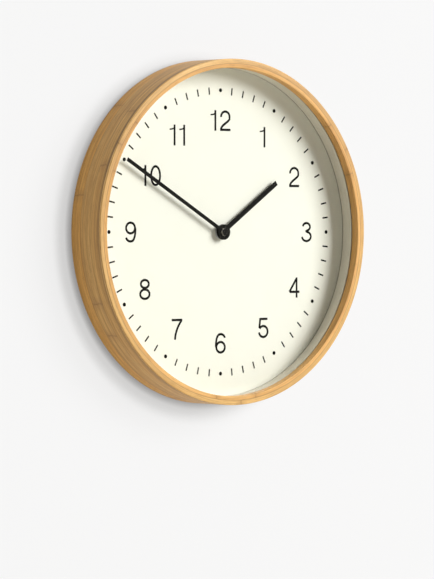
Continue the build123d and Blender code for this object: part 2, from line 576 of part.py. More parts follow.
with BuildPart() as fifth_wheel:
    toothed(FIFTH_CENTRE, FIFTH_TEETH, ROTOR_MODULE, 0.0, FIFTH_LAYER, FIFTH_LAYER + WHEEL_THICK)
    toothed(
        FIFTH_CENTRE,
        FIFTH_PINION_TEETH,
        SECONDS_MODULE,
        FIFTH_PINION_PHASE,
        FIFTH_LAYER + WHEEL_THICK,
        SECONDS_LAYER + 1.0,
        True,
    )
    disc(FIFTH_CENTRE, PIVOT_RADIUS + RUNNING, FIFTH_LAYER, SECONDS_LAYER + 1.0, Mode.SUBTRACT)
save(fifth_wheel, "fifth_wheel")

with BuildPart() as rotor_arbor:
    disc(ROTOR_CENTRE, PIVOT_RADIUS, FLOOR - 0.4, PLATE_FRONT - 0.1)
    toothed(ROTOR_CENTRE, ROTOR_TEETH, ROTOR_MODULE, ROTOR_PHASE, FIFTH_LAYER - 0.3, FIFTH_LAYER + 1.1, True)
save(rotor_arbor, "rotor_arbor")

with BuildPart() as rotor_magnet:
    disc(ROTOR_CENTRE, MAGNET_RADIUS, 5.0, 7.6)
    disc(ROTOR_CENTRE, PIVOT_RADIUS, 5.0, 7.6, Mode.SUBTRACT)
save(rotor_magnet, "rotor_magnet")

# ---------------------------------------------------------------- cell, lying across the bay with its nub to the right
with BuildPart() as battery_can:
    with BuildSketch(Plane.YZ.offset(CELL_LEFT)):
        with Locations((-CELL_DEPTH, BAY_Z)):
            Circle(CELL_RADIUS - SLEEVE)
    extrude(amount=CELL_LENGTH)
    with BuildSketch(Plane.YZ.offset(CELL_LEFT + CELL_LENGTH)):
        with Locations((-CELL_DEPTH, BAY_Z)):
            Circle(NUB_RADIUS)
    extrude(amount=NUB_LENGTH)
    fillet(faces().sort_by(Axis.X)[-1].edges(), 0.4)
save(battery_can, "battery_can")

with BuildPart() as battery_sleeve:
    with BuildSketch(Plane.YZ.offset(CELL_LEFT + 0.4)):
        with Locations((-CELL_DEPTH, BAY_Z)):
            Circle(CELL_RADIUS)
            Circle(CELL_RADIUS - SLEEVE, mode=Mode.SUBTRACT)
    extrude(amount=CELL_LENGTH - 0.8)
save(battery_sleeve, "battery_sleeve")
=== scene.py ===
"""Looks for a round wall clock in a bamboo case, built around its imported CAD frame.

All sizes are in metres. The clock hangs on a wall at y = 0 and faces -Y.
"""

import math

import bpy
import numpy as np
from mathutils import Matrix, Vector


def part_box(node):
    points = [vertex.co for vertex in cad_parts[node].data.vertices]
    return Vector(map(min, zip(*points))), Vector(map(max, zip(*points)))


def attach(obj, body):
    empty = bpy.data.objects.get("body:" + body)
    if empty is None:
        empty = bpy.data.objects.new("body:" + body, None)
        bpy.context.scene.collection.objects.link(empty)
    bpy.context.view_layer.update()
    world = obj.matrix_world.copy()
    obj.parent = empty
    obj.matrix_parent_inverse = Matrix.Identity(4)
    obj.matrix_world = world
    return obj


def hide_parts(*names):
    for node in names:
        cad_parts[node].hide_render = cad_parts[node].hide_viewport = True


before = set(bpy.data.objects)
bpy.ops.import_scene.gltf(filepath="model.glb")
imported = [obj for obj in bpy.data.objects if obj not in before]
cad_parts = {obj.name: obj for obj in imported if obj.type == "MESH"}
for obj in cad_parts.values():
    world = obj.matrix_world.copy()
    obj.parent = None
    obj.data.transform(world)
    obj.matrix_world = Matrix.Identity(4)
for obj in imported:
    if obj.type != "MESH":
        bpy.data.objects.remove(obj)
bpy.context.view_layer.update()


# ---------------------------------------------------------------- bamboo hoop
# The case: split bamboo strips glued edge to edge, bent into a hoop, turned smooth and lacquered. Three
# strips show on the side and two, edge on, round the front lip; each strip's knuckles fall at places of
# its own. The glass fills the hoop's bore and lies against the rear of the lip.
CASE_RADIUS, CASE_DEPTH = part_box("case_ring")[1].x, -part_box("case_ring")[0].y
HOOP_INNER_RADIUS, LIP_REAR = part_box("glass_lens")[1].x, -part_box("glass_lens")[0].y
LIP_INNER_RADIUS, LIP_SEAM_RADIUS = 0.1422, 0.1457
SIDE_SEAMS = (0.0133, 0.0267, 0.0383)
OUTER_ROUND, INNER_ROUND, REAR_BREAK = 0.0009, 0.0004, 0.0008
HOOP_STEPS, CORNER_POINTS, RUN_POINTS = 480, 9, 4
STEP_ANGLE = 360.0 / HOOP_STEPS
SHARP_ANGLE = 40
SLACK = 0.000001  # how far off the bore or the rear plane a face may lie and still count as on it
LIP_INNER, LIP_OUTER, SIDE_REAR, SIDE_MIDDLE, SIDE_FRONT, INSIDE = range(6)  # the strips' numbers
KNUCKLES = {
    LIP_INNER: (49, 69, 171, 189, 291, 310),
    LIP_OUTER: (60, 178, 300),
    SIDE_REAR: (42, 76, 162, 196, 282, 316),
    SIDE_MIDDLE: (6, 114, 126, 234, 246, 354),
    SIDE_FRONT: (52, 73, 172, 193, 292, 313),
    INSIDE: (20, 140, 260),
}  # degrees from twelve


def clockwise(radius, degrees):
    """(x, z) at this radius, this many degrees clockwise from twelve."""
    turn = np.radians(degrees)
    return np.stack([radius * np.sin(turn), radius * np.cos(turn)], axis=-1)


def at_depth(flat, depth):
    """Points (x, z) on a plane parallel to the wall and this far in front of it, as (x, y, z)."""
    x, z = np.moveaxis(np.asarray(flat, dtype=float), -1, 0)
    return np.stack([x, np.broadcast_to(-np.asarray(depth, dtype=float), x.shape), z], axis=-1)


def skin(name, grids, ends="capped"):
    """One mesh over grids of points: each row is a closed loop of the section, carried on to the next row.

    The end rows are capped by flat faces, left open, or joined so that the last row meets the first.
    """
    faces, start = [], 0
    for grid in grids:
        rows, count = grid.shape[:2]
        row, spot = np.indices((rows if ends == "joined" else rows - 1, count))
        here, after = start + row * count, start + (row + 1) % rows * count
        beside = (spot + 1) % count
        quads = np.stack([here + spot, here + beside, after + beside, after + spot], axis=-1)
        faces += quads.reshape(-1, 4).tolist()
        if ends == "capped":
            first_row = start + np.arange(count)
            faces += [first_row[::-1].tolist(), (first_row + (rows - 1) * count).tolist()]
        start += rows * count
    mesh = bpy.data.meshes.new(name)
    mesh.from_pydata(np.concatenate([grid.reshape(-1, 3) for grid in grids]), [], faces)
    piece = bpy.data.objects.new(name, mesh)
    bpy.context.collection.objects.link(piece)
    return piece


def hoop_profile():
    """The hoop's section as (radius, depth from the wall), from its inner rear corner round the outside.

    Straight runs are points spaced evenly. A rounded corner is its centre plus its round times (cos t, sin t)
    at the lip's outer edge, or (-sin t, cos t) at its inner edge, for t along a quarter turn.
    """
    quarter = np.linspace(0, math.pi / 2, CORNER_POINTS)
    outer = np.stack([CASE_RADIUS - OUTER_ROUND * (1 - np.cos(quarter)),
                      CASE_DEPTH - OUTER_ROUND * (1 - np.sin(quarter))], axis=1)
    inner = np.stack([LIP_INNER_RADIUS + INNER_ROUND * (1 - np.sin(quarter)),
                      CASE_DEPTH - INNER_ROUND * (1 - np.cos(quarter))], axis=1)
    side = np.concatenate([np.linspace(start, end, RUN_POINTS, endpoint=False)
                           for start, end in zip((REAR_BREAK, *SIDE_SEAMS), SIDE_SEAMS)] + [SIDE_SEAMS[-1:]])
    return np.concatenate([
        [[HOOP_INNER_RADIUS, 0.0], [CASE_RADIUS - REAR_BREAK, 0.0]],
        np.stack([np.full(len(side), CASE_RADIUS), side], axis=1),
        outer,
        [[LIP_SEAM_RADIUS, CASE_DEPTH]],
        inner,
        [[LIP_INNER_RADIUS, LIP_REAR], [HOOP_INNER_RADIUS, LIP_REAR]],
    ])


def corner_values(mesh, name, values):
    """Writes one number per face corner into the mesh, as an attribute that a material can read."""
    layer = mesh.attributes.new(name, "FLOAT", "CORNER")
    layer.data.foreach_set("value", np.asarray(values, dtype=float).ravel())


def wrapped(degrees):
    """The same angle, from -180 to 180."""
    return (degrees + 180) % 360 - 180


profile = hoop_profile()
around = np.arange(HOOP_STEPS) * STEP_ANGLE
hoop_grid = at_depth(clockwise(profile[None, :, 0], around[:, None]), profile[None, :, 1])
hoop = skin("bamboo_hoop", [hoop_grid], "joined")
# Each face between two points of the section lies on one strip. Its corners carry how far round the
# section they are, and how far from a seam and from that strip's nearest knuckle.
ends = np.stack([profile, np.roll(profile, -1, axis=0)])
middle_radius, middle_depth = ends.mean(axis=0).T
strip_of = np.select(
    [
        (middle_radius < LIP_SEAM_RADIUS) & (middle_depth > LIP_REAR),
        (middle_radius < HOOP_INNER_RADIUS + SLACK) | (middle_depth < SLACK),
        middle_depth > SIDE_SEAMS[2],
        middle_depth < SIDE_SEAMS[0],
        middle_depth < SIDE_SEAMS[1],
    ],
    [LIP_INNER, INSIDE, LIP_OUTER, SIDE_REAR, SIDE_MIDDLE],
    SIDE_FRONT,
)
walked = np.concatenate([[0.0], np.cumsum(np.hypot(*(ends[1] - ends[0]).T))])
seam_here = np.flatnonzero(strip_of != np.roll(strip_of, 1))
to_seam = np.abs(walked[:, None] - walked[seam_here][None, :]).min(axis=1)
turn, place = (index.ravel() for index in np.indices((HOOP_STEPS, len(profile))))
corner_turn = np.stack([turn, turn, turn + 1, turn + 1], axis=-1)
corner_place = np.stack([place, place + 1, place + 1, place], axis=-1)
to_knuckle = np.zeros(corner_turn.shape)
for number, angles in KNUCKLES.items():
    angles = np.array(angles)
    off_middle = wrapped((turn[:, None] + 0.5) * STEP_ANGLE - angles)
    nearest = angles[np.abs(off_middle).argmin(axis=1)]
    off_corner = wrapped(corner_turn * STEP_ANGLE - nearest[:, None])
    on_strip = strip_of[place] == number
    to_knuckle[on_strip] = np.radians(off_corner[on_strip]) * CASE_RADIUS
corner_values(hoop.data, "strip", np.repeat(strip_of[place], 4))
corner_values(hoop.data, "to_seam", to_seam[corner_place])
corner_values(hoop.data, "to_knuckle", to_knuckle)
corner_values(hoop.data, "across", walked[corner_place])
hoop.data.shade_smooth()
hoop.data.set_sharp_from_angle(angle=math.radians(SHARP_ANGLE))


def finish(name, roughness, color=(0.8, 0.8, 0.8), **sockets):
    """A new material and its shader, with the numbers that are the same all over set on its own sockets."""
    made = bpy.data.materials.new(name)
    made.use_nodes = True
    shader = made.node_tree.nodes["Principled BSDF"]
    shader.inputs["Roughness"].default_value = roughness
    shader.inputs["Base Color"].default_value = (*color, 1)
    for socket, value in sockets.items():
        shader.inputs[socket.replace("_", " ")].default_value = value
    return made, shader


def node(tree, kind, sockets=(), **settings):
    """Adds a shader node. sockets maps an input's name or number to a constant, or to what feeds it."""
    made = tree.nodes.new("ShaderNode" + kind)
    for key, value in settings.items():
        setattr(made, key, value)
    for key, value in dict(sockets).items():
        if isinstance(value, bpy.types.NodeSocket):
            tree.links.new(value, made.inputs[key])
        else:
            made.inputs[key].default_value = value
    return made


def object_place(tree):
    """Where a point of the surface lies in its object, which is also its place in the clock at rest."""
    return node(tree, "TexCoord").outputs["Object"]


def noise(tree, place, pitch, detail=2.0):
    """Soft noise, with this many lumps to a metre and finer detail on them."""
    return node(tree, "TexNoise", {"Vector": place, "Scale": pitch, "Detail": detail}).outputs["Fac"]


def math_node(tree, operation, *values):
    """The result of one arithmetic step."""
    return node(tree, "Math", dict(enumerate(values)), operation=operation).outputs[0]


def rescale(tree, value, low=0.0, high=1.0, to_low=0.0, to_high=1.0):
    """Turns the numbers from low to high into the numbers from to_low to to_high."""
    return node(tree, "MapRange", {0: value, 1: low, 2: high, 3: to_low, 4: to_high}).outputs[0]


def ramp(tree, value, *stops):
    """Turns a number into a colour that runs through the stops, each (number, colour) or (number, grey)."""
    made = node(tree, "ValToRGB", {"Fac": value})
    elements = made.color_ramp.elements
    while len(elements) < len(stops):
        elements.new(0.5)
    for element, (position, color) in zip(elements, stops):
        element.position = position
        element.color = (*color, 1) if isinstance(color, tuple) else (color, color, color, 1)
    return made.outputs["Color"]


def blend_color(tree, factor, first, second, kind="MIX"):
    """Two colours mixed by a factor, each of them a constant or an output."""
    first, second = ((*color, 1) if isinstance(color, tuple) else color for color in (first, second))
    made = node(tree, "Mix", {0: factor, 6: first, 7: second}, data_type="RGBA", blend_type=kind)
    return made.outputs[2]


def emboss(tree, height, strength, depth):
    """Lets a height stand out of the surface by up to this depth."""
    bump = node(tree, "Bump", {"Strength": strength, "Distance": depth, "Height": height})
    tree.links.new(bump.outputs[0], tree.nodes["Principled BSDF"].inputs["Normal"])
    return bump


BAMBOO_TONES = ((0.30, (0.63, 0.325, 0.095)), (0.52, (0.82, 0.475, 0.155)), (0.72, (0.93, 0.58, 0.215)))
BAND_BROWN, FIBRE_BROWN = (0.47, 0.26, 0.09), (0.30, 0.15, 0.05)
HALO_BROWN, KNUCKLE_BROWN = (0.40, 0.205, 0.065), (0.15, 0.065, 0.02)
GLUE_BROWN, EDGE_SHADE_BROWN = (0.20, 0.10, 0.035), (0.17, 0.09, 0.028)
# The inner lip strip's tone is partly painted light: raised to stand in for bounce light on its shaded inner
# wall.
STRIP_TONES = (
    (1.0, 0.96, 0.90),
    (0.95, 0.98, 1.0),
    (0.92, 0.83, 0.58),
    (0.79, 0.765, 0.67),
    (0.82, 0.79, 0.67),
    (0.9, 0.88, 0.8),
)  # what the bamboo's colour is multiplied by, strip by strip
STRIP_SHIFT = 7.3  # how far apart in the noise two strips lie, so that their grain differs
HALO_REACH, KNUCKLE_REACH, GLUE_REACH = 0.010, 0.0025, 0.001  # how far off each mark could still show
WAVER, WAVER_PITCH = 0.003, 160.0  # how far a knuckle's line wavers, and how often to a metre
EDGE_SHADE_REACH = 0.0036  # how far behind its front seam the side is darkened by painted shade
EDGE_SHADE_LOW, EDGE_SHADE_FULL = -0.02, 0.05  # the heights between which that painted shade grows to its full strength
KNUCKLE_RISE, FIBRE_DIP, GLUE_DIP, RELIEF = 2.0, 0.6, 1.5, 0.00006  # the first three in units of the last

bamboo, shader = finish("bamboo_lacquered", 0.5, Specular_IOR_Level=0.25, Coat_Weight=0.08,
                        Coat_Roughness=0.3)
tree = bamboo.node_tree
place_in_object = object_place(tree)
axes = node(tree, "SeparateXYZ", {0: place_in_object})
across, strip, seam, knuckle = (node(tree, "Attribute", attribute_name=name).outputs["Fac"]
                                for name in ("across", "strip", "to_seam", "to_knuckle"))
own_number = math_node(tree, "MULTIPLY", strip, STRIP_SHIFT)


def fibres(across_scale, along_scale, detail=2.0):
    """Noise drawn out along the strip: fine across it, slow round the hoop, and different on every strip."""
    vector = node(tree, "CombineXYZ", {
        0: math_node(tree, "MULTIPLY", across, across_scale),
        1: math_node(tree, "MULTIPLY", axes.outputs["X"], along_scale),
        2: math_node(tree, "MULTIPLY", axes.outputs["Z"], along_scale)}).outputs[0]
    grain = {"Vector": vector, "W": own_number, "Scale": 1.0, "Detail": detail, "Roughness": 0.6}
    return node(tree, "TexNoise", grain, noise_dimensions="4D").outputs["Fac"]


def near(distance, reach, *stops):
    """How strongly a line marks the bamboo at a distance from it, by stops of (share of reach, strength)."""
    return ramp(tree, math_node(tree, "MULTIPLY", distance, 1 / reach), *stops)


# Clouds, bands and single fibres: so many to a metre across a strip, and along it.
broad, bands, fine = fibres(260, 9, 3), fibres(900, 22), fibres(3200, 110)
tone = ramp(tree, broad, *BAMBOO_TONES)
tone = blend_color(tree, ramp(tree, bands, (0.42, 0.0), (0.60, 0.5)), tone, BAND_BROWN)
tone = blend_color(tree, ramp(tree, fine, (0.56, 0.0), (0.66, 0.55)), tone, FIBRE_BROWN)
strip_stops = [(number / INSIDE, color) for number, color in enumerate(STRIP_TONES)]
strip_tone = ramp(tree, math_node(tree, "DIVIDE", strip, INSIDE), *strip_stops)
tone = blend_color(tree, 1.0, tone, strip_tone, "MULTIPLY")
waver = math_node(tree, "SUBTRACT", noise(tree, place_in_object, WAVER_PITCH, 1.0), 0.5)
wavy = math_node(tree, "ADD", knuckle, math_node(tree, "MULTIPLY", waver, WAVER))
from_knuckle = math_node(tree, "ABSOLUTE", wavy)
halo = near(from_knuckle, HALO_REACH, (0.0, 0.42), (0.75, 0.0))
line = near(from_knuckle, KNUCKLE_REACH, (0.05, 1.0), (0.42, 0.0))
tone = blend_color(tree, halo, tone, HALO_BROWN)
broken = math_node(tree, "MULTIPLY", line, rescale(tree, fine, 0.40, 0.62, 0.05, 0.5))
tone = blend_color(tree, broken, tone, KNUCKLE_BROWN)
glue = near(seam, GLUE_REACH, (0.08, 0.55), (0.32, 0.0))
tone = blend_color(tree, glue, tone, GLUE_BROWN)
# Painted shade: the side's front strip darkened just behind the lip, in patches and more so higher up.
behind_lip = math_node(tree, "ADD", axes.outputs["Y"], SIDE_SEAMS[2])
behind_lip = math_node(tree, "DIVIDE", behind_lip, EDGE_SHADE_REACH)
painted_edge_shade = ramp(tree, behind_lip, (0.0, 0.0), (0.1, 1.0), (0.5, 0.6), (1.0, 0.0))
patchy = rescale(tree, broad, 0.35, 0.6, 0.6)
higher_up = rescale(tree, axes.outputs["Z"], EDGE_SHADE_LOW, EDGE_SHADE_FULL, 0.65)
for share in (patchy, higher_up, math_node(tree, "COMPARE", strip, SIDE_FRONT, 0.1)):
    painted_edge_shade = math_node(tree, "MULTIPLY", painted_edge_shade, share)
tone = blend_color(tree, painted_edge_shade, tone, EDGE_SHADE_BROWN)
tree.links.new(tone, shader.inputs["Base Color"])
height = math_node(tree, "MULTIPLY", line, KNUCKLE_RISE)
for mark, dip in ((fine, FIBRE_DIP), (glue, GLUE_DIP)):
    height = math_node(tree, "SUBTRACT", height, math_node(tree, "MULTIPLY", mark, dip))
emboss(tree, height, 0.5, RELIEF)
hoop.data.materials.append(bamboo)
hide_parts("case_ring")
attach(hoop, "clock")


# ---------------------------------------------------------------- dial
# A disc of stiff card, ivory and matt, with the faintest paper grain. Its edge is held between the spacer
# ring in front and the packing ring behind.
DARK_AT, LIGHT_AT = 0.38, 0.62  # the noise at which a grained finish is at its darkest and its lightest
GRAIN_SHARE, PATCH_BREADTH = 0.6, 30  # the rest of its colour follows patches so many times as broad
ROUGHNESS_SPREAD = 0.12  # the share by which it is rougher and smoother in places
EDGE_SAMPLES = 4


def grained(name, roughness, dark, light, scale, bump=0.2, depth=0.00003, stretch=(1, 1, 1), detail=4.0,
            edge=0.0, **sockets):
    """A finish whose colour, roughness and height all follow one noise in the object's own space.

    scale is the noise's pitch per metre, bump and depth say how strongly and how far it stands out, stretch
    draws it out along an axis where the material has a direction, and edge is the radius to which sharp
    edges look broken.
    """
    made, shader = finish(name, roughness, **sockets)
    tree = made.node_tree
    place = node(tree, "Mapping", {"Vector": object_place(tree), "Scale": stretch}).outputs[0]
    grain, patches = noise(tree, place, scale, detail), noise(tree, place, scale / PATCH_BREADTH)
    from_grain = math_node(tree, "MULTIPLY", grain, GRAIN_SHARE)
    from_patches = math_node(tree, "MULTIPLY", patches, 1 - GRAIN_SHARE)
    tone = math_node(tree, "ADD", from_grain, from_patches)
    tree.links.new(ramp(tree, tone, (DARK_AT, dark), (LIGHT_AT, light)), shader.inputs["Base Color"])
    smoothest, roughest = roughness * (1 - ROUGHNESS_SPREAD), roughness * (1 + ROUGHNESS_SPREAD)
    varied = rescale(tree, grain, to_low=smoothest, to_high=roughest)
    tree.links.new(varied, shader.inputs["Roughness"])
    raised = emboss(tree, grain, bump, depth)
    if edge:
        rounded = node(tree, "Bevel", {"Radius": edge}, samples=EDGE_SAMPLES).outputs[0]
        tree.links.new(rounded, raised.inputs["Normal"])
    return made


def dress(material, *names):
    """Gives CAD nodes a finish in place of their plain one."""
    for name in names:
        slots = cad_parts[name].data.materials
        slots.clear()
        slots.append(material)


ivory = grained("ivory_card", 0.7, (0.93, 0.94, 0.83), (0.95, 0.96, 0.855), 900, Specular_IOR_Level=0.15)
dress(ivory, "dial_plate")


# ---------------------------------------------------------------- print on the dial
# Screen-printed marks in matt black ink: a dot at each hour, a short bar at each minute between, and
# upright numbers inside them. A number's strokes lie a hair's breadth over each other where they cross.
DIAL_FRONT = -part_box("dial_plate")[0].y
INK_PROUD, INK_SUNK, INK_STEP = 0.00005, 0.00002, 0.000003
HOUR_ANGLE, MINUTE_ANGLE = 30.0, 6.0
DOT_CIRCLE, DOT_RADIUS, DOT_POINTS = 0.1234, 0.00172, 32
TICK_INNER, TICK_OUTER, TICK_WIDTH = 0.1198, 0.1261, 0.00138
NUMBER_HEIGHT, NUMBER_STROKE = 0.0180, 0.00206
FLAG_SHARE = 0.62  # the flag of a 1 is this much as thick as its stem
NUMBER_PLACES = {
    "12": (0.0, 0.0970), "1": (0.0483, 0.0835), "2": (0.0853, 0.0488), "3": (0.1000, 0.0000),
    "4": (0.0853, -0.0493), "5": (0.0493, -0.0845), "6": (0.0, -0.0970), "7": (-0.0490, -0.0838),
    "8": (-0.0845, -0.0490), "9": (-0.1000, 0.0), "10": (-0.0780, 0.0483), "11": (-0.0485, 0.0835),
}
FIGURE_GAP = 0.236  # between a two-figure number's figures, in heights

ink = grained("black_ink", 0.7, (0.005, 0.005, 0.004), (0.011, 0.011, 0.009), 1500, Specular_IOR_Level=0.05)


def printed(name, grids):
    """Flat closed plates of ink, from just under the dial's face to just proud of it."""
    piece = skin(name, grids)
    piece.data.materials.append(ink)
    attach(piece, "clock")


def stroke(path, width, back=DIAL_FRONT - INK_SUNK, front=DIAL_FRONT + INK_PROUD):
    """A line drawn with a flat pen, as a grid: at each point of its path a four-cornered section.

    Its left and right edges lie half a width along the path's normal (-dz, dx), on the front and then on
    the back.
    """
    path = np.asarray(path, dtype=float)
    step = np.gradient(path, axis=0)
    side = np.stack([-step[:, 1], step[:, 0]], axis=1) / np.hypot(*step.T)[:, None] * width / 2
    return np.stack([at_depth(path + side, front), at_depth(path - side, front),
                     at_depth(path - side, back), at_depth(path + side, back)], axis=1)


dot_rim = clockwise(DOT_RADIUS, np.arange(DOT_POINTS) * 360.0 / DOT_POINTS)
dots = [clockwise(DOT_CIRCLE, hour * HOUR_ANGLE) + dot_rim for hour in range(12)]
printed("hour_dots", [np.stack([at_depth(dot, DIAL_FRONT + INK_PROUD), at_depth(dot, DIAL_FRONT - INK_SUNK)])
                      for dot in dots])
tick_ends = np.array([TICK_INNER, TICK_OUTER])
printed("minute_marks", [stroke(clockwise(tick_ends, minute * MINUTE_ANGLE), TICK_WIDTH)
                         for minute in range(60) if minute % 5])


def arc(centre, radii, first, last, steps=28):
    """Points on an ellipse: centre + (rx cos t, rz sin t), t running from first to last in degrees."""
    t = np.radians(np.linspace(first, last, steps))
    return np.stack([centre[0] + radii[0] * np.cos(t), centre[1] + radii[1] * np.sin(t)], axis=1)


def curve(start, pull_start, pull_end, end, steps=20):
    """A cubic Bezier from start to end: (1-t)^3 A + 3(1-t)^2 t B + 3(1-t) t^2 C + t^3 D."""
    t = np.linspace(0, 1, steps)[:, None]
    a, b, c, d = (np.asarray(point, dtype=float) for point in (start, pull_start, pull_end, end))
    return (1 - t) ** 3 * a + 3 * (1 - t) ** 2 * t * b + 3 * (1 - t) * t**2 * c + t**3 * d


# Each figure: its width, then the centre lines of its strokes, from its bottom left corner, in units of
# its height. HALF is half a stroke's width in those units.
HALF = NUMBER_STROKE / NUMBER_HEIGHT / 2
FIGURES = {
    "0": (0.66, [arc((0.33, 0.5), (0.33 - HALF, 0.5 - HALF), 0, 360, 57)]),
    "1": (0.36, [[(0.36 - HALF, 1.0), (0.36 - HALF, 0.0)],
                 curve((0.36 - HALF, 0.95), (0.30, 0.80), (0.20, 0.785), (0.0, 0.775))]),
    "2": (0.66, [np.concatenate([arc((0.335, 0.69), (0.325 - HALF, 0.31 - HALF), 184, -10, 30),
                                 curve((0.615, 0.62), (0.56, 0.42), (0.10, 0.33), (0.05, HALF))[1:]]),
                 [(0.01, HALF), (0.66, HALF)]]),
    "3": (0.68, [arc((0.335, 0.755), (0.29 - HALF, 0.245 - HALF), 172, -88, 34),
                 arc((0.335, 0.28), (0.345 - HALF, 0.28 - HALF + 0.005), 90, -176, 40),
                 [(0.27, 0.54), (0.36, 0.54)]]),
    "4": (0.70, [[(0.515, 0.0), (0.515, 1.0)],
                 [(HALF, 0.29), (0.70, 0.29)],
                 [(0.51, 0.95), (0.045, 0.29)]]),
    "5": (0.67, [[(0.12, 1.0 - HALF), (0.60, 1.0 - HALF)],
                 [(0.135, 0.98), (0.075, 0.50)],
                 arc((0.33, 0.325), (0.335 - HALF, 0.325 - HALF), 148, -172, 50)]),
    "6": (0.67, [arc((0.34, 0.31), (0.325 - HALF, 0.31 - HALF), 0, 360, 49),
                 np.concatenate([arc((0.35, 0.70), (0.27, 0.30 - HALF), 15, 110, 16),
                                 curve((0.26, 0.945), (0.10, 0.87), (0.035, 0.62), (0.05, 0.31))[1:]])]),
    "7": (0.65, [[(0.0, 1.0 - HALF), (0.65, 1.0 - HALF)],
                 curve((0.62, 0.93), (0.40, 0.70), (0.23, 0.36), (0.20, 0.0))]),
    "8": (0.68, [arc((0.34, 0.755), (0.30 - HALF, 0.245 - HALF), 0, 360, 45),
                 arc((0.34, 0.27), (0.34 - HALF, 0.27 - HALF + 0.01), 0, 360, 49)]),
}
FIGURES["9"] = (0.67, [np.array([0.67, 1.0]) - path for path in FIGURES["6"][1]])

for number, spot in NUMBER_PLACES.items():
    left = -(sum(FIGURES[figure][0] for figure in number) + FIGURE_GAP * (len(number) - 1)) / 2
    strokes = []
    for figure in number:
        width, paths = FIGURES[figure]
        for order, path in enumerate(paths):
            weight = FLAG_SHARE if figure == "1" and order else 1.0
            on_dial = (np.asarray(path) + np.array([left, -0.5])) * NUMBER_HEIGHT + np.array(spot)
            ink_top = DIAL_FRONT + INK_PROUD + order * INK_STEP
            strokes.append(stroke(on_dial, NUMBER_STROKE * weight, front=ink_top))
        left += width + FIGURE_GAP
    printed("number_" + number, strokes)


# ---------------------------------------------------------------- glass
# A flat pane of 2 mm float glass, lying in the hoop's bore against the lip. It mirrors a little square on
# and far more at a grazing angle, and is clear for the rest; faint smears vary its gloss.
MIRRORED_SQUARE_ON, MIRRORED_GRAZING, MIRROR_POWER = 0.024, 0.97, 5.0
SMEAR_PITCH, CLEANEST, SMEARIEST = 18.0, 0.01, 0.05

lens, shader = finish("float_glass", 0.02, (1.0, 1.0, 1.0), Metallic=1.0)
tree = lens.node_tree
facing = node(tree, "LayerWeight", {"Blend": 0.5}).outputs["Facing"]
rising = math_node(tree, "POWER", facing, MIRROR_POWER)
mirrored = math_node(tree, "MULTIPLY", rising, MIRRORED_GRAZING)
mirrored = math_node(tree, "ADD", mirrored, MIRRORED_SQUARE_ON)
tree.links.new(mirrored, shader.inputs["Alpha"])
smears = noise(tree, object_place(tree), SMEAR_PITCH)
tree.links.new(rescale(tree, smears, to_low=CLEANEST, to_high=SMEARIEST), shader.inputs["Roughness"])
dress(lens, "glass_lens")


# ---------------------------------------------------------------- spacer and packing rings
# A cream board ring keeps the dial off the glass. Behind the dial a ring of fibreboard fills the case and
# takes the board screws.
JOINT_SHADE = 0.0013  # how far up the ring the painted shade in its joint with the dial reaches
JOINT_SHADE_COLOR = (0.24, 0.21, 0.16)

cream = grained("cream_board", 0.7, (0.70, 0.665, 0.57), (0.755, 0.72, 0.625), 700, stretch=(1, 6, 1))
tree = cream.node_tree
paint_color = tree.nodes["Principled BSDF"].inputs["Base Color"]
off_dial = node(tree, "SeparateXYZ", {0: object_place(tree)}).outputs["Y"]
off_dial = math_node(tree, "DIVIDE", math_node(tree, "ADD", off_dial, DIAL_FRONT), -JOINT_SHADE)
# Painted shade: the ring's colour darkens towards its joint with the dial, for the shadow in that gap.
painted_joint_shade = ramp(tree, off_dial, (0.45, 0.75), (1.0, 0.0))
tree.links.new(blend_color(tree, painted_joint_shade, paint_color.links[0].from_socket, JOINT_SHADE_COLOR), paint_color)
dress(cream, "spacer_ring")
fibreboard = grained("fibreboard_pale", 0.8, (0.50, 0.37, 0.22), (0.66, 0.51, 0.33), 1400, 0.5, 0.0001)
dress(fibreboard, "packing_ring")


# ---------------------------------------------------------------- hands
# Straight bars stamped from aluminium sheet and sprayed satin black, each with a round boss. A small
# turned nut holds them on: nickel-plated, with its face sprayed the same black.
BLACK_PAINT = (0.006, 0.006, 0.005), (0.012, 0.012, 0.010)
BARE_NICKEL = (0.72, 0.70, 0.66), (0.84, 0.82, 0.78)
HAND_EDGE, SPECK_PITCH = 0.00016, 2600.0

hand_paint = grained("satin_black_paint", 0.42, *BLACK_PAINT, SPECK_PITCH, 0.25, edge=HAND_EDGE,
                     Specular_IOR_Level=0.03)
dress(hand_paint, "hour_hand", "minute_hand")
nut, shader = finish("nut_paint_and_nickel", 0.55, Specular_IOR_Level=0.06)
tree = nut.node_tree
facing_out = node(tree, "SeparateXYZ", {0: node(tree, "NewGeometry").outputs["True Normal"]}).outputs["Y"]
bare = ramp(tree, math_node(tree, "ABSOLUTE", facing_out), (0.45, 1.0), (0.60, 0.0))
specks = noise(tree, object_place(tree), SPECK_PITCH)
black, bright = (ramp(tree, specks, (0.35, dark), (0.65, light))
                 for dark, light in (BLACK_PAINT, BARE_NICKEL))
tree.links.new(blend_color(tree, bare, black, bright), shader.inputs["Base Color"])
tree.links.new(bare, shader.inputs["Metallic"])
emboss(tree, specks, 0.2, 0.00002)
dress(nut, "cap_nut")


# ---------------------------------------------------------------- bush, nut and washers
# The movement's turned brass bush comes through the dial, with a zinc-plated steel nut and washer in
# front and a black rubber cushion behind.
brass = grained("turned_brass", 0.3, (0.62, 0.43, 0.16), (0.76, 0.56, 0.25), 1600, 0.3, stretch=(1, 9, 1),
                edge=0.0001, Metallic=1.0)
dress(brass, "threaded_bush")
zinc = grained("zinc_plate", 0.38, (0.47, 0.48, 0.50), (0.66, 0.67, 0.68), 500, 0.25, edge=0.00012,
               Metallic=1.0)
dress(zinc, "hex_nut", "dial_washer")
rubber = grained("cushion_rubber", 0.8, (0.012, 0.012, 0.012), (0.030, 0.030, 0.030), 1500, 0.5, 0.00008)
dress(rubber, "cushion_washer")


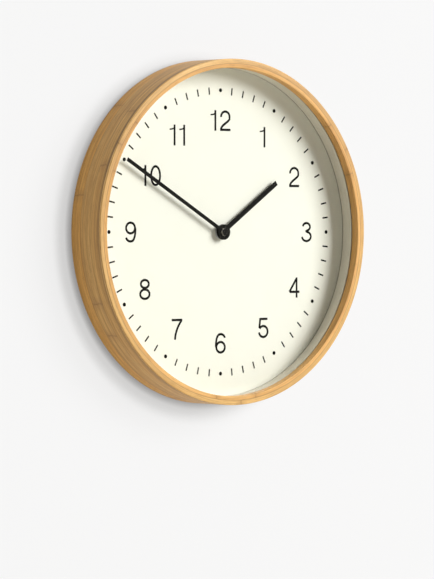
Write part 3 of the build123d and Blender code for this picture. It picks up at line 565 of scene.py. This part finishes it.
# ---------------------------------------------------------------- back board and its screws
# Brown hardboard, pressed smooth on the side that faces the wall and cut to a disc that drops into the
# hoop. Six countersunk cross-head screws hold it to the packing ring.
hardboard = grained("brown_hardboard", 0.68, (0.185, 0.102, 0.047), (0.265, 0.155, 0.078), 950, 0.45,
                    0.00008, detail=8.0, edge=0.0002)
dress(hardboard, "back_board")
dress(zinc, "board_screws")


# ---------------------------------------------------------------- hanger
# A zinc-plated steel plate stamped with a keyhole, on two small countersunk screws of darkened steel. It
# hangs on the head of a screw in the wall.
dark_steel = grained("darkened_steel", 0.42, (0.10, 0.10, 0.105), (0.19, 0.19, 0.195), 700, 0.25,
                     edge=0.00012, Metallic=1.0)
dress(zinc, "hanger_plate")
dress(dark_steel, "hanger_screws")


# ---------------------------------------------------------------- movement housing
# Injection-moulded black box with a spark-eroded texture, open at the rear for the cell; a lid on four
# screws closes the front. Signs for the cell's ends and the knob's direction stand proud of its back.
housing_plastic = grained("black_moulding", 0.55, (0.012, 0.012, 0.013), (0.026, 0.026, 0.028), 2600, 0.6,
                          0.00007, edge=0.0003)
dress(housing_plastic, "movement_housing", "movement_lid")
dress(dark_steel, "lid_screws")

HOUSING_BACK = -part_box("movement_housing")[1].y
MARK_PROUD, MARK_SUNK, MARK_WIDTH = 0.00018, 0.00005, 0.0006
MARK_STEP = 0.000004  # each stroke stands this much less proud than the one before, so that none coincide
SIGN_SPOTS, SIGN_REACH = ((-0.0237, -0.0113), (0.0237, -0.0113)), 0.0014
KNOB_CENTRE = tuple((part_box("set_knob")[0][axis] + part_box("set_knob")[1][axis]) / 2 for axis in (0, 2))
ARROW_RADIUS, ARROW_FROM, ARROW_TO, ARROW_POINTS = 0.0083, 150, 40, 25
BARB_TURNS, BARB_LENGTH = (-2.4, 0.9), 0.0016  # which way the arrowhead's two barbs run, in radians

arrow = arc(KNOB_CENTRE, (ARROW_RADIUS, ARROW_RADIUS), ARROW_FROM, ARROW_TO, ARROW_POINTS)
marks = [arrow]
for barb in BARB_TURNS:
    marks.append([arrow[-1], arrow[-1] + BARB_LENGTH * np.array([math.cos(barb), math.sin(barb)])])
for (x, z), crossed in zip(SIGN_SPOTS, (False, True)):
    marks.append([(x - SIGN_REACH, z), (x + SIGN_REACH, z)])
    if crossed:
        marks.append([(x, z - SIGN_REACH), (x, z + SIGN_REACH)])
mark_tops = HOUSING_BACK - MARK_PROUD + np.arange(len(marks)) * MARK_STEP
signs = skin("moulded_signs", [stroke(mark, MARK_WIDTH, HOUSING_BACK + MARK_SUNK, top)
                               for mark, top in zip(marks, mark_tops)])
signs.data.materials.append(housing_plastic)
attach(signs, "clock")


# ---------------------------------------------------------------- setting knob
# A ribbed knob of red plastic, in a well at the housing's rear. Its stem reaches through to a pinion that
# is moulded in one with it and turns the motion work.
red = grained("red_moulding", 0.42, (0.36, 0.022, 0.016), (0.46, 0.034, 0.024), 1500, 0.3, edge=0.00025)
dress(red, "set_knob")


# ---------------------------------------------------------------- battery contacts
# Nickel-plated spring steel, cut and bent from strip: a flat tab for the cell's cap, and a strip with a
# coiled spring for its base.
nickel = grained("nickel_plate", 0.26, (0.58, 0.54, 0.46), (0.74, 0.70, 0.62), 900, 0.2, edge=0.0001,
                 Metallic=1.0)
dress(nickel, "contact_positive", "contact_negative")


# ---------------------------------------------------------------- cell
# An AA cell: a drawn steel can with its cap at the positive end, in a shrunk plastic sleeve. The sleeve is
# printed dark, with a metallic copper band at the cap's end and a thin copper line beside it.
steel = grained("cell_steel", 0.3, (0.56, 0.55, 0.53), (0.72, 0.71, 0.69), 700, 0.2, stretch=(5, 1, 1),
                Metallic=1.0, edge=0.0003)
dress(steel, "battery_can")
SLEEVE_BAND, SLEEVE_LINE = 0.0105, 0.0016  # where the band begins along the cell, and how wide the line is
COPPER_PRINT = (0.50, 0.235, 0.075), (0.64, 0.33, 0.12)
DARK_PRINT = (0.014, 0.015, 0.018), (0.026, 0.027, 0.031)
COPPER_METALLIC, FLAKE_PITCH, SHRINK_PITCH = 0.85, 2400.0, 260.0

sleeve, shader = finish("printed_sleeve", 0.3, Coat_Weight=0.5, Coat_Roughness=0.15)
tree = sleeve.node_tree
place_in_object = object_place(tree)
along = node(tree, "SeparateXYZ", {0: place_in_object}).outputs["X"]
flakes = noise(tree, place_in_object, FLAKE_PITCH)
copper_print, dark_print = (ramp(tree, flakes, (0.35, dark), (0.65, light))
                            for dark, light in (COPPER_PRINT, DARK_PRINT))
in_band = math_node(tree, "GREATER_THAN", along, SLEEVE_BAND)
off_line = math_node(tree, "SUBTRACT", along, SLEEVE_BAND - 2 * SLEEVE_LINE)
in_line = math_node(tree, "LESS_THAN", math_node(tree, "ABSOLUTE", off_line), SLEEVE_LINE / 2)
in_copper = math_node(tree, "MAXIMUM", in_band, in_line)
tree.links.new(blend_color(tree, in_copper, dark_print, copper_print), shader.inputs["Base Color"])
tree.links.new(math_node(tree, "MULTIPLY", in_copper, COPPER_METALLIC), shader.inputs["Metallic"])
emboss(tree, noise(tree, place_in_object, SHRINK_PITCH), 0.25, 0.0001)
dress(sleeve, "battery_sleeve")


# ---------------------------------------------------------------- wheels and plate
# Injection-moulded wheels and arbors in natural acetal, running in a plate of the same grey nylon as the
# coil's bobbin.
acetal = grained("natural_acetal", 0.38, (0.70, 0.69, 0.63), (0.80, 0.79, 0.74), 900, 0.15, edge=0.00008)
dress(acetal, "minute_arbor", "hour_wheel", "minute_wheel", "centre_wheel", "third_wheel", "seconds_wheel",
      "fifth_wheel", "rotor_arbor")
nylon = grained("grey_nylon", 0.5, (0.30, 0.31, 0.32), (0.38, 0.39, 0.40), 1100, 0.3, edge=0.00015)
dress(nylon, "train_plate", "coil_bobbin")


# ---------------------------------------------------------------- motor
# A stamped stator and core of silicon steel, a coil of enamelled copper wire wound on the bobbin, and the
# rotor's sintered magnet.
silicon_steel = grained("silicon_steel", 0.42, (0.30, 0.30, 0.31), (0.42, 0.42, 0.43), 600, 0.3,
                        stretch=(1, 1, 4), Metallic=1.0)
dress(silicon_steel, "stator", "coil_core")
magnet = grained("sintered_magnet", 0.6, (0.055, 0.053, 0.052), (0.10, 0.098, 0.095), 3000, 0.5, 0.00006)
dress(magnet, "rotor_magnet")
WIRE_PITCH, WAVE_RATE = 0.00016, 20  # a wave texture of scale 1 turns through this many radians in a metre
WIRE_DARK, WIRE_BRIGHT = (0.24, 0.075, 0.03), (0.72, 0.30, 0.13)

wire, shader = finish("enamelled_copper", 0.28, Metallic=1.0, Coat_Weight=0.6)
tree = wire.node_tree
turns = node(tree, "TexWave", {"Vector": object_place(tree), "Scale": 2 * math.pi / (WAVE_RATE * WIRE_PITCH),
                               "Distortion": 0.4, "Detail": 1.0, "Detail Scale": 2.0}).outputs["Fac"]
tree.links.new(ramp(tree, turns, (0.0, WIRE_DARK), (0.6, WIRE_BRIGHT)), shader.inputs["Base Color"])
emboss(tree, turns, 0.8, 0.00005)
dress(wire, "coil_winding")


# ---------------------------------------------------------------- circuit
# A green glass-epoxy board with lacquered copper tracks, the chip under a drop of black epoxy, and the
# quartz crystal in its tin-plated can.
TRACK_PITCH, WEAVE_PITCH = 260.0, 2200.0
MASK_GREENS, TRACK_GREEN = ((0.010, 0.095, 0.035), (0.018, 0.13, 0.05)), (0.045, 0.25, 0.09)

epoxy, shader = finish("green_solder_mask", 0.32, Coat_Weight=0.4)
tree = epoxy.node_tree
place_in_object = object_place(tree)
tracks = node(tree, "TexVoronoi", {"Vector": place_in_object, "Scale": TRACK_PITCH, "Randomness": 0.75},
              feature="DISTANCE_TO_EDGE").outputs["Distance"]
weave = noise(tree, place_in_object, WEAVE_PITCH)
tone = ramp(tree, weave, (0.3, MASK_GREENS[0]), (0.7, MASK_GREENS[1]))
on_track = ramp(tree, tracks, (0.10, 1.0), (0.14, 0.0))
tree.links.new(blend_color(tree, on_track, tone, TRACK_GREEN), shader.inputs["Base Color"])
emboss(tree, on_track, 0.5, 0.00004)
dress(epoxy, "circuit_board")
chip = grained("chip_epoxy", 0.35, (0.010, 0.010, 0.011), (0.020, 0.020, 0.022), 900, 0.2, edge=0.0004)
dress(chip, "circuit_chip")
dress(nickel, "quartz_crystal")


# ---------------------------------------------------------------- room
# A pale wall that shows only from the front, with a hole that the case hides, and a pale floor well below.
# The wall partly glows, and a painted shadow dims its glow close to the case where that stands between it
# and the key lamp: a broad soft lamp up to the right. A weaker one hangs above, and one behind lights the
# clock's back.
WALL_RADIUS, WALL_HOLE, WALL_GAP, WALL_STEPS = 1.1, 0.1485, 0.0005, 192
WALL_GREY, WALL_GLOW = 0.09, 0.825
FLOOR_HEIGHT, FLOOR_REACH = -1.0, 2.6
KEY_FROM, KEY_AWAY, KEY_SIZE, KEY_WATTS = (0.637, -0.683, 0.358), 5.0, (2.8, 2.5), 332.0
TOP_FROM, TOP_AWAY, TOP_SIZE, TOP_WATTS = (-0.35, -0.12, 1.0), 4.0, (3.0, 2.0), 36.0
REAR_FROM, REAR_AWAY, REAR_SIZE, REAR_WATTS = (-0.45, 0.78, 0.45), 2.2, (1.2, 1.2), 46.0
SKY, SKY_COLOR = 0.042, (1.0, 0.90, 0.76)
# Two painted shadows in the wall's glow, one close and one wider: how far the case reaches, then the glow
# left on the wall for each share of the view towards the key lamp that is open.
PAINTED_WALL_SHADOWS = (
    (0.009, ((0.35, 0.46), (0.6, 0.755), (0.8, 1.0))),
    (0.025, ((0.6, 0.73), (0.72, 0.885), (0.86, 1.0))),
)
SHADE_SAMPLES = 16

paint, shader = finish("wall_paint", 0.85, (WALL_GREY, WALL_GREY, WALL_GREY), Specular_IOR_Level=0.1,
                       Emission_Strength=WALL_GLOW)
tree = paint.node_tree
toward_key = node(tree, "CombineXYZ", dict(enumerate(KEY_FROM))).outputs[0]
# The painted shadow: the wall's glow dimmed where the case hides the view towards the key lamp.
painted_wall_shadow = (1.0, 1.0, 1.0)
for reach, stops in PAINTED_WALL_SHADOWS:
    open_share = node(tree, "AmbientOcclusion", {"Distance": reach, "Normal": toward_key},
                      samples=SHADE_SAMPLES).outputs["AO"]
    painted_wall_shadow = blend_color(tree, 1.0, painted_wall_shadow, ramp(tree, open_share, *stops), "MULTIPLY")
tree.links.new(painted_wall_shadow, shader.inputs["Emission Color"])
plain = grained("floor_paint", 0.8, (0.74, 0.70, 0.63), (0.79, 0.75, 0.68), 40)
from_behind = node(tree, "NewGeometry").outputs["Backfacing"]
clear = node(tree, "BsdfTransparent").outputs[0]
one_sided = node(tree, "MixShader", {0: from_behind, 1: shader.outputs[0], 2: clear})
tree.links.new(one_sided.outputs[0], tree.nodes["Material Output"].inputs["Surface"])
wall_rim = np.arange(WALL_STEPS) * 360.0 / WALL_STEPS
wall = skin("wall", [np.stack([at_depth(clockwise(radius, wall_rim), -WALL_GAP)
                               for radius in (WALL_HOLE, WALL_RADIUS)])], "open")
wall.data.materials.append(paint)
floor_corners = [(x * FLOOR_REACH, y * FLOOR_REACH, FLOOR_HEIGHT)
                 for x, y in ((-1, -1), (1, -1), (1, 1), (-1, 1))]
ground = bpy.data.meshes.new("floor")
ground.from_pydata(floor_corners, [], [(0, 1, 2, 3)])
floor = bpy.data.objects.new("floor", ground)
bpy.context.collection.objects.link(floor)
ground.materials.append(plain)

sky = bpy.data.worlds.new("sky")
sky.use_nodes = True
sky.node_tree.nodes["Background"].inputs["Color"].default_value = (*SKY_COLOR, 1)
sky.node_tree.nodes["Background"].inputs["Strength"].default_value = SKY
bpy.context.scene.world = sky


def lamp(name, toward, away, size, watts):
    """A soft box this far away in a direction, turned to face the clock."""
    light = bpy.data.lights.new(name, "AREA")
    light.shape, light.energy = "RECTANGLE", watts
    light.size, light.size_y = size
    holder = bpy.data.objects.new(name, light)
    bpy.context.collection.objects.link(holder)
    direction = Vector(toward).normalized()
    holder.location = direction * away
    holder.rotation_euler = direction.to_track_quat("Z", "Y").to_euler()


lamp("key_lamp", KEY_FROM, KEY_AWAY, KEY_SIZE, KEY_WATTS)
lamp("top_lamp", TOP_FROM, TOP_AWAY, TOP_SIZE, TOP_WATTS)
lamp("rear_lamp", REAR_FROM, REAR_AWAY, REAR_SIZE, REAR_WATTS)

# The camera stands level with the clock, 40 degrees round to its left, and looks slightly down.
CAMERA_PLACE, CAMERA_BEARING, CAMERA_DROP = (-1.8556, -2.2268, 0.0), 39.978, 0.9945
LENS, SENSOR_WIDTH = 205.85, 36.0
view = bpy.data.cameras.new("camera")
view.lens, view.sensor_width = LENS, SENSOR_WIDTH
camera = bpy.data.objects.new("camera", view)
bpy.context.collection.objects.link(camera)
camera.location = CAMERA_PLACE
camera.rotation_euler = (math.radians(90 - CAMERA_DROP), 0.0, math.radians(-CAMERA_BEARING))
bpy.context.scene.camera = camera
bpy.context.scene.view_settings.view_transform = "Standard"
